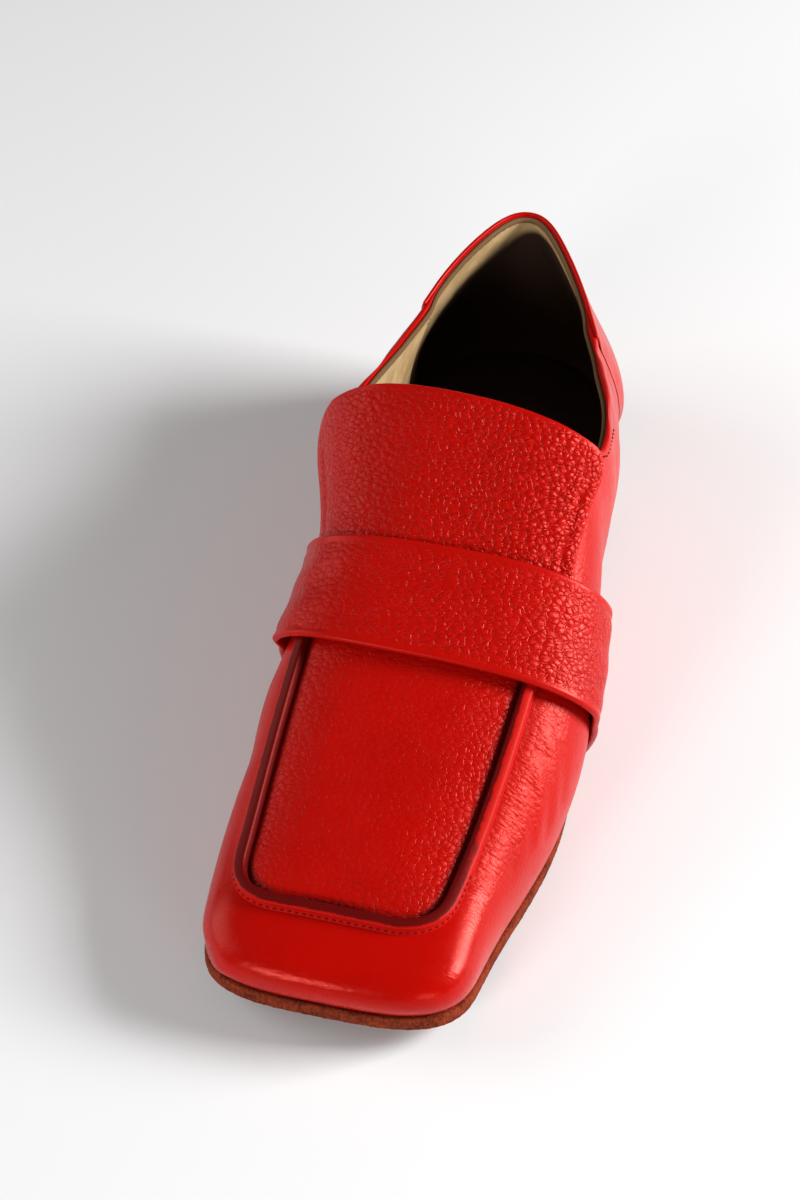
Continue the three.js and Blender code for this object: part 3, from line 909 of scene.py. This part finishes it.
def make_counter(leather):
    """The panel over the heel, skived thin at its front edges and full up to the collar."""
    tau, girth = counter_net()
    base = form(tau, girth)
    around, upwards = run_along(base, 0), run_along(base, 1)
    from_front = np.minimum(around, around[-1:] - around)
    below_collar = smoothstep(upwards[:, -1:] - upwards, *COUNTER_SKIVE["collar"])
    thin = (1 - smoothstep(from_front, 0, COUNTER_SKIVE["front"])) * below_collar
    thickness = lerp(COUNTER_THICKNESS, COUNTER_SKIVE["edge"], thin)
    piece = panel(
        "counter_leather",
        tau,
        girth,
        COUNTER_SEAT,
        thickness,
        COUNTER_SKIVE["round"],
        crease_relief(base),
        **COUNTER_LOOK,
    )
    piece.build(leather, "upper_leather", "heel_counter")


# The raised seam in section: distance outwards from the seam's line, height, and how much of it is painted
# along the outer side and elsewhere: dark edge paint on its top, and painted shade on its inner wall.
SEAM_SECTION = table(
    "out up side toe",
    (2.8, -0.5, 0, 0),
    (2.1, 0.05, 0, 0),
    (1.7, 0.6, 0, 0),
    (1.6, 1.2, 0, 0),
    (1.5, 1.65, 0, 0),
    (1.25, 1.88, 0, 0.3),
    (0.7, 1.98, 0, 0.9),
    (0, 2.0, 0.1, 1),
    (-0.7, 1.98, 0.4, 1),
    (-1.25, 1.88, 1, 1),
    (-1.5, 1.6, 1, 1),
    (-1.6, 0.9, 1, 1),
    (-1.65, 0.2, 1, 1),
    (-1.65, -1.6, 1, 1),
)
SEAM_TOE = (205, 230)


def seam_line():
    """Points along the apron seam from the inner side round the toe, normals and outward directions."""
    taus, girths = [], []
    for side in (-1, 1):
        tau = np.linspace(feather_tau(APRON["back"], side), 1, NET["seam_side"])
        girth = side * (1 - seam_share(tau, side))
        taus.append(tau if side < 0 else tau[::-1][1:])
        girths.append(girth if side < 0 else girth[::-1][1:])
    tau, girth = np.concatenate(taus), np.concatenate(girths)
    line = form(tau, girth)
    normal = form_normal(tau, girth)
    ahead = unit(np.gradient(line, axis=0))
    return line, normal, unit(np.cross(ahead, normal))


def make_seam(painted):
    """The ridge: one section swept along the seam, paint on its cut edge, painted shade on its inner wall.
    """
    line, normal, out = seam_line()
    outwards, upwards, at_side, at_toe = (np.append(v, v[0]) for v in SEAM_SECTION.values())
    points = line[:, None] + out[:, None] * outwards[:, None] + normal[:, None] * upwards[:, None]
    elsewhere = np.where(line[:, 0] < -CENTRE_X, 1, smoothstep(along_foot(line), *SEAM_TOE))
    piece = Piece("apron_seam_ridge")
    # The dark on the inner wall is painted shade; on the top it is edge paint.
    piece.grid(points, paint=lerp(at_side, at_toe, elsewhere[:, None]))
    piece.build(painted, "painted_edge", "apron_seam")


STITCH = {"pitch": 1.9, "length": 1.45, "radius": 0.22, "sides": 6, "rings": 5, "sunk": 0.05, "blunt": 0.02}
STITCH_ROWS = {
    "outside": {"from": 222, "out": 2.0, "up": 0.3},
    "inside": {"from": 232, "out": -3.0, "up": -0.3},
    "collar": {"s": (92, 111), "height": 0.945, "up": 0.3},
    "join": {"s": 44, "height": (0.87, 0.96)},
}
SIDE_GIRTH = 0.6


def between(at, run, rows):
    """Rows of three numbers, looked up at distances along a run."""
    return np.stack([np.interp(at, run, column) for column in rows.T], axis=-1)


def stitch_row(piece, line, normal):
    """Short rounded dashes of thread along a line on the shoe."""
    run = run_along(line, 0)
    count = int(run[-1] / STITCH["pitch"])
    centre = (np.arange(count) + 0.5) * STITCH["pitch"]
    along = np.linspace(-1, 1, STITCH["rings"])
    at = centre[:, None] + along * STITCH["length"] / 2
    spot = between(at, run, line)
    up = unit(between(at, run, normal))
    ahead = unit(np.gradient(spot, axis=1))
    out = np.cross(ahead, up)
    radius = STITCH["radius"] * np.sqrt(np.clip(1 + STITCH["blunt"] - along**2, STITCH["blunt"], 1))
    bow = (radius - STITCH["radius"] - STITCH["sunk"])[None, :, None]
    turn = np.linspace(0, 2 * math.pi, STITCH["sides"] + 1)
    rings = (
        (spot + up * bow)[:, :, None]
        + out[:, :, None] * (radius[:, None] * np.cos(turn))[None, :, :, None]
        + up[:, :, None] * (radius[:, None] * np.sin(turn))[None, :, :, None]
    )
    for stitch in rings:
        piece.grid(stitch)


def stitch_on_form(piece, tau, girth, height):
    """A row of stitches over the last, or inside it where the height is below nought."""
    normal = form_normal(tau, girth) * np.sign(height)
    stitch_row(piece, off_form(tau, girth, np.full_like(tau, height)), normal)


def make_stitches(thread):
    """Rows on both sides of the raised seam's toe, below the collar's ends, and on the lining's join."""
    piece = Piece("stitches")
    line, normal, out = seam_line()
    for row in (STITCH_ROWS["outside"], STITCH_ROWS["inside"]):
        kept = along_foot(line) > row["from"]
        stitch_row(piece, (line + out * row["out"] + normal * row["up"])[kept], normal[kept])
    row = STITCH_ROWS["collar"]
    for side in (1, -1):
        tau = tau_at(side * SIDE_GIRTH, np.linspace(*row["s"], NET["collar_stitches"]))
        girth = side * (1 - collar_share(tau, side) * row["height"])
        stitch_on_form(piece, tau, girth, row["up"])
    row = STITCH_ROWS["join"]
    tau = np.full(NET["join_stitches"], tau_at(-SIDE_GIRTH, row["s"]))
    girth = collar_share(tau, -1) * np.linspace(*row["height"], NET["join_stitches"]) - 1
    stitch_on_form(piece, tau, girth, -(leather_depth(row["s"]) + LINING_GAP + LINING))
    piece.build(thread, "upper_leather")


class Shader:
    """Builds one material's nodes round its Principled shader. Sizes are in millimetres."""

    def __init__(self, name):
        self.material = bpy.data.materials.new(name)
        self.material.use_nodes = True
        self.tree = self.material.node_tree
        self.surface = self.tree.nodes["Principled BSDF"]

    def put(self, socket, value):
        if isinstance(value, bpy.types.NodeSocket):
            self.tree.links.new(value, socket)
        else:
            socket.default_value = value

    def node(self, kind, settings=None, **inputs):
        made = self.tree.nodes.new("ShaderNode" + kind)
        for key, value in (settings or {}).items():
            setattr(made, key, value)
        for key, value in inputs.items():
            self.put(made.inputs[key.replace("_", " ")], value)
        return made

    def math(self, operation, a, b=0.0):
        made = self.node("Math", {"operation": operation})
        self.put(made.inputs[0], a)
        self.put(made.inputs[1], b)
        return made.outputs[0]

    def attribute(self, name):
        return self.node("Attribute", {"attribute_name": name}).outputs["Fac"]

    def place(self, stretch=None):
        spot = self.node("TexCoord").outputs["Object"]
        if stretch is None:
            return spot
        return self.node("Mapping", Vector=spot, Scale=stretch).outputs["Vector"]

    def noise(self, size, detail=2.0, vector=None):
        made = self.node("TexNoise", Vector=vector or self.place(), Scale=1 / (size * MM), Detail=detail)
        return made.outputs["Fac"]

    def cells(self, size, vector, feature="F1"):
        """Distance to a cell's middle (F1) or edge."""
        made = self.node("TexVoronoi", {"feature": feature}, Vector=vector, Randomness=0.85)
        self.put(made.inputs["Scale"], 1 / (size * MM))
        return made.outputs["Distance"]

    def domes(self, size, vector):
        """Round pebbles of about a size."""
        return self.ramp(self.cells(size, vector), 0.05, 0.8, 1.0, 0.0)

    def creases(self, size, vector, width):
        """Thin lines between cells of about a size. Their width is a share of it."""
        return self.ramp(self.cells(size, vector, "DISTANCE_TO_EDGE"), 0.0, width, 1.0, 0.0)

    def total(self, *parts, start=0.0):
        """Sum of values, each times its weight."""
        for value, weight in parts:
            made = self.node("Math", {"operation": "MULTIPLY_ADD"})
            for socket, number in zip(made.inputs, (value, weight, start)):
                self.put(socket, number)
            start = made.outputs[0]
        return start

    def ramp(self, value, low, high, start=0.0, end=1.0):
        made = self.node("MapRange", {"interpolation_type": "SMOOTHSTEP"}, Value=value)
        for socket, number in zip(("From Min", "From Max", "To Min", "To Max"), (low, high, start, end)):
            self.put(made.inputs[socket], number)
        return made.outputs["Result"]

    def mix(self, factor, a, b):
        made = self.node("Mix", {"data_type": "RGBA"})
        for index, value in ((0, factor), (6, a), (7, b)):
            self.put(made.inputs[index], value)
        return made.outputs[2]

    def warped(self, size, amount, spot):
        """A place pushed about by noise."""
        made = self.node("TexNoise", Vector=self.place(), Scale=1 / (size * MM), Detail=1.0)
        push = self.node("VectorMath", {"operation": "SCALE"}, Scale=amount * MM)
        self.put(push.inputs[0], made.outputs["Color"])
        total = self.node("VectorMath", {"operation": "ADD"})
        self.put(total.inputs[0], spot)
        self.put(total.inputs[1], push.outputs[0])
        return total.outputs[0]

    def bump(self, height, depth):
        """Surface normal from a height between 0 and 1 over a depth."""
        made = self.node("Bump", Strength=1.0, Distance=depth * MM, Height=height)
        self.put(self.surface.inputs["Normal"], made.outputs["Normal"])

    def set(self, **inputs):
        for key, value in inputs.items():
            self.put(self.surface.inputs[key.replace("_", " ")], value)
        return self.material


RED = (0.43, 0.0022, 0.0006, 1)
# Darker red for painted shade in the creases and for random cloudy tone.
SHADE_AND_CLOUD_RED = (0.2, 0.001, 0.0004, 1)
# Painted shade and dirt in the groove just inside the apron seam.
GROOVE_SHADE_AND_DIRT_RED = (0.06, 0.0006, 0.0004, 1)
GLINT = (1, 0.18, 0.14, 1)
PAINT_RED = (0.1, 0.0012, 0.0015, 1)
THREAD_RED = (0.2, 0.002, 0.002, 1)
TAN = (0.55, 0.37, 0.18, 1)
TAN_DARK = (0.4, 0.25, 0.11, 1)
# Painted shade deep inside the lining.
PAINTED_SHADE_BROWN = (0.03, 0.014, 0.008, 1)
RAW_BROWN = (0.16, 0.085, 0.035, 1)
SOLE_BROWN = (0.3, 0.042, 0.013, 1)
SOLE_DARK = (0.07, 0.009, 0.003, 1)
HEEL_BROWN = (0.1, 0.035, 0.02, 1)
HEEL_DARK = (0.05, 0.017, 0.01, 1)
# The insole's browns, made very dark as painted shade inside the shoe.
SOCK_SHADE_BROWN = (0.03, 0.013, 0.008, 1)
SOCK_SHADE_DARK = (0.018, 0.008, 0.005, 1)
# Heights of the red leather's grain, as shares of its depth in millimetres.
PEBBLE = {"dome": 0.5, "small_dome": 0.1, "crease": -0.34, "streak": 0.22, "pore": 0.05, "depth": 0.36}


def pebbles(shader, stretch, size):
    """Height of round pebbles with thin broken creases between them, and the creases alone."""
    spot = shader.warped(0.9, 0.3, shader.warped(7, 1.6, shader.place(stretch)))
    strength = shader.ramp(shader.noise(1.6, 2.0), 0.35, 0.6, 0.25, 1.0)
    creased = shader.math("MULTIPLY", shader.creases(size, spot, 0.1), strength)
    height = shader.total(
        (shader.domes(size, spot), PEBBLE["dome"]),
        (shader.domes(size / 2, spot), PEBBLE["small_dome"]),
        (creased, PEBBLE["crease"]),
    )
    return height, creased


def red_leather(name, stretch, size):
    """Pebbled red leather. The values grain, fine and gloss at each point vary it over a piece."""
    shader = Shader(name)
    grain, fine, gloss = (shader.attribute(key) for key in ("grain", "fine", "gloss"))
    pebble, creased = pebbles(shader, stretch, size)
    streaks = shader.domes(1.3, shader.warped(4, 1.2, shader.place((0.4, 1.4, 0.4))))
    height = shader.total(
        (shader.math("MULTIPLY", pebble, grain), 1),
        (shader.math("MULTIPLY", streaks, fine), PEBBLE["streak"]),
        (shader.noise(0.35, 3.0), PEBBLE["pore"]),
    )
    shader.bump(height, PEBBLE["depth"])
    cloudy = shader.ramp(shader.noise(22, 3.0), 0.3, 0.75, 0.0, 0.15)
    # Painted shade in the grain's creases, plus cloudy tone that varies at random, darkens the red.
    crease_shade_and_cloudy = shader.total((shader.math("MULTIPLY", creased, grain), 0.3), (cloudy, 1))
    # The groove inside the apron seam gets painted shade and dirt.
    color = shader.mix(shader.attribute("groove"), shader.mix(crease_shade_and_cloudy, RED, SHADE_AND_CLOUD_RED), GROOVE_SHADE_AND_DIRT_RED)
    uneven = shader.ramp(shader.noise(6, 3.0), 0.3, 0.7, -0.03, 0.04)
    rough = shader.total((gloss, -0.12), (uneven, 1), start=0.37)
    return shader.set(Base_Color=color, Roughness=rough, Specular_IOR_Level=0.5, Specular_Tint=GLINT)


def painted_edge():
    """Dark paint on the seam's cut edge and, as painted shade, on its inner wall; red leather on its sides.
    """
    shader = Shader("painted_edge")
    uneven = shader.ramp(shader.noise(2.5, 3.0), 0.35, 0.65, -0.15, 0.15)
    painted = shader.ramp(shader.total((shader.attribute("paint"), 1), (uneven, 1)), 0.2, 0.8)
    shader.bump(shader.noise(0.8, 3.0), 0.05)
    color = shader.mix(painted, RED, PAINT_RED)
    return shader.set(Base_Color=color, Roughness=0.48, Specular_IOR_Level=0.4, Specular_Tint=GLINT)


def lining_leather():
    """Matt tan lining with a raw brown cut edge along the collar, and painted shade down inside the shoe.
    """
    shader = Shader("lining_tan")
    below = shader.attribute("below")
    ragged = shader.ramp(shader.noise(1.4, 4.0), 0.3, 0.7, -0.2, 0.2)
    raw = shader.ramp(shader.total((ragged, 1), (below, 1)), 1.6, 1.0)
    shaded = shader.math("MULTIPLY", below, shader.attribute("shade"))
    # Painted shade: the lining darkens to brown below the rim, at a rate given by shade.
    painted_shade = shader.ramp(shader.total((shader.noise(9, 2.0), 5), (shaded, 1)), 12, 27)
    cloudy = shader.ramp(shader.noise(9, 4.0), 0.35, 0.7)
    tan_with_painted_shade = shader.mix(painted_shade, shader.mix(cloudy, TAN, TAN_DARK), PAINTED_SHADE_BROWN)
    fuzz = shader.math("MULTIPLY", shader.noise(0.25, 2.0), raw)
    shader.bump(shader.total((shader.noise(0.5, 4.0), 1), (fuzz, 1.5)), 0.12)
    return shader.set(Base_Color=shader.mix(raw, tan_with_painted_shade, RAW_BROWN), Roughness=0.75, Specular_IOR_Level=0.25)


def sole_leather():
    """Brown sole leather with an open, fibrous edge."""
    shader = Shader("sole_brown")
    fibres = shader.noise(0.7, 5.0, shader.place((1, 1, 0.6)))
    blotch = shader.ramp(shader.noise(5, 4.0), 0.3, 0.7)
    speck = shader.ramp(fibres, 0.35, 0.65)
    tone = shader.total((blotch, 0.4), (speck, 0.5))
    shader.bump(fibres, 0.5)
    color = shader.mix(tone, SOLE_DARK, SOLE_BROWN)
    return shader.set(Base_Color=color, Roughness=0.85, Specular_IOR_Level=0.1)


def heel_leather():
    """Dark heel block of leather layers."""
    shader = Shader("heel_brown")
    layers = shader.noise(1.6, 2.0, shader.place((0.05, 0.05, 1)))
    shader.bump(shader.math("ADD", layers, shader.noise(0.4, 3.0)), 0.15)
    color = shader.mix(shader.ramp(layers, 0.3, 0.7), HEEL_DARK, HEEL_BROWN)
    return shader.set(Base_Color=color, Roughness=0.5)


def sock_leather():
    """Dark brown leather of the insole, made this dark as painted shade inside the shoe."""
    shader = Shader("sock_brown")
    shader.bump(shader.noise(0.5, 4.0), 0.1)
    tone = shader.ramp(shader.noise(12, 4.0), 0.3, 0.7)
    color = shader.mix(tone, SOCK_SHADE_BROWN, SOCK_SHADE_DARK)
    return shader.set(Base_Color=color, Roughness=0.7, Specular_IOR_Level=0.25)


def thread():
    """Matt red sewing thread."""
    shader = Shader("thread_red")
    shader.bump(shader.noise(0.3, 2.0), 0.08)
    color = shader.mix(shader.noise(1.0, 2.0), THREAD_RED, PAINT_RED)
    return shader.set(Base_Color=color, Roughness=0.7, Specular_IOR_Level=0.1)


CAMERA = {"azimuth": 12.46, "elevation": 43.58, "distance": 770, "target": (-16.79, -2.43, 30), "lens": 84}
# Soft boxes: place and size in metres, power in watts.
LIGHTS = (
    {"name": "inner_side_box", "at": (-1.15, -0.1, 0.6), "size": 0.9, "power": 7},
    {"name": "outer_side_box", "at": (1.07, 0.25, 0.6), "size": 0.5, "power": 26},
    {"name": "front_box", "at": (0.75, -1.0, 0.28), "size": 0.36, "power": 2.4},
    {"name": "toe_box", "at": (-0.4, -1.1, 0.42), "size": 0.32, "power": 6.2},
)
FLOOR_HALF = 4
FLOOR_WHITE = (0.82, 0.82, 0.82, 1)
SKY = 0.1


def toward(azimuth, elevation):
    a, e = math.radians(azimuth), math.radians(elevation)
    return Vector((math.sin(a) * math.cos(e), -math.cos(a) * math.cos(e), math.sin(e)))


def make_camera():
    data = bpy.data.cameras.new("camera")
    data.lens = CAMERA["lens"]
    camera = put_in_scene("camera", data)
    back = toward(CAMERA["azimuth"], CAMERA["elevation"])
    camera.location = (Vector(CAMERA["target"]) + back * CAMERA["distance"]) * MM
    camera.rotation_euler = (-back).to_track_quat("-Z", "Y").to_euler()
    bpy.context.scene.camera = camera


def make_lights():
    for light in LIGHTS:
        data = bpy.data.lights.new(light["name"], "AREA")
        data.size = light["size"]
        data.energy = light["power"]
        made = put_in_scene(light["name"], data)
        made.location = light["at"]
        made.rotation_euler = (-Vector(light["at"])).to_track_quat("-Z", "Y").to_euler()
    world = bpy.data.worlds.new("studio")
    world.use_nodes = True
    world.node_tree.nodes["Background"].inputs["Strength"].default_value = SKY
    world.node_tree.nodes["Background"].inputs["Color"].default_value = (1, 1, 1, 1)
    bpy.context.scene.world = world
    bpy.context.scene.view_settings.view_transform = "Standard"


def make_floor():
    mesh = bpy.data.meshes.new("floor")
    h = FLOOR_HALF
    mesh.from_pydata([(-h, -h, 0), (h, -h, 0), (h, h, 0), (-h, h, 0)], [], [(0, 1, 2, 3)])
    shader = Shader("floor_white")
    mesh.materials.append(shader.set(Base_Color=FLOOR_WHITE, Roughness=0.9))
    floor = put_in_scene("floor", mesh)


make_camera()
make_lights()
make_floor()
leather = red_leather("red_leather", (0.75, 1, 1), 1.5)
strap_leather = red_leather("red_strap_leather", (0.6, 1, 1), 1.5)
make_outsole(sole_leather())
make_heel(heel_leather())
make_insole(sock_leather())
make_upper(leather)
make_lining(lining_leather())
make_counter(leather)
make_seam(painted_edge())
make_tongue(leather)
make_strap(strap_leather)
make_stitches(thread())
